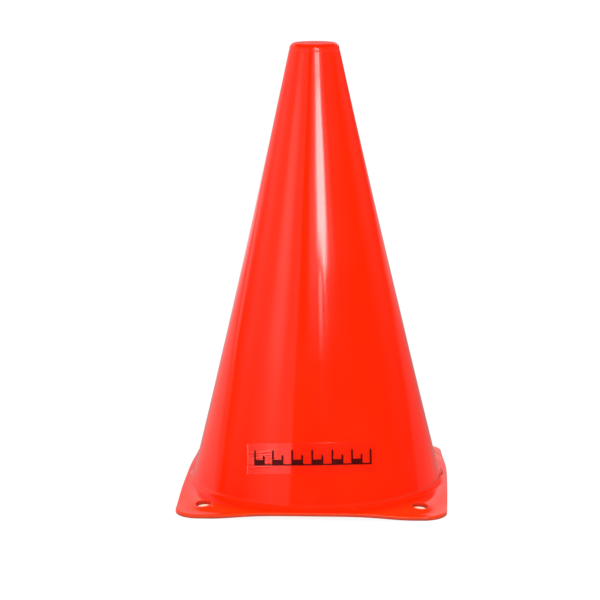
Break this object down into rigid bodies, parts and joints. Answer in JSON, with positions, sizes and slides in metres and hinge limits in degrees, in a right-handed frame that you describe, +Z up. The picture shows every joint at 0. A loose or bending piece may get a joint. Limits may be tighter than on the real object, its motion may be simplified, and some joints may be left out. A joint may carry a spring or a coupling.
{
  "type": "sports marker cone",
  "caption": "Hollow plastic training cone with a square dished foot flange, a flat closed crown, corner holes and a clear front label with a plain scale.",
  "frame": {"origin": "centre of the foot on the ground plane, on the cone's axis", "axes": "+Z up along the cone's axis to the crown, -Y out of the front that carries the label, +X to the right as seen from the front"},
  "size_m": [0.1368, 0.1368, 0.23],
  "materials": {
    "shell": "glossy orange-red soft polyethylene, slightly translucent",
    "film": "clear self-adhesive film, faintly milky",
    "ink": "dark printed ink"
  },
  "bodies": {
    "root": {"cone_shell": "shell", "label_film": "film", "label_print": "ink"}
  },
  "joints": []
}
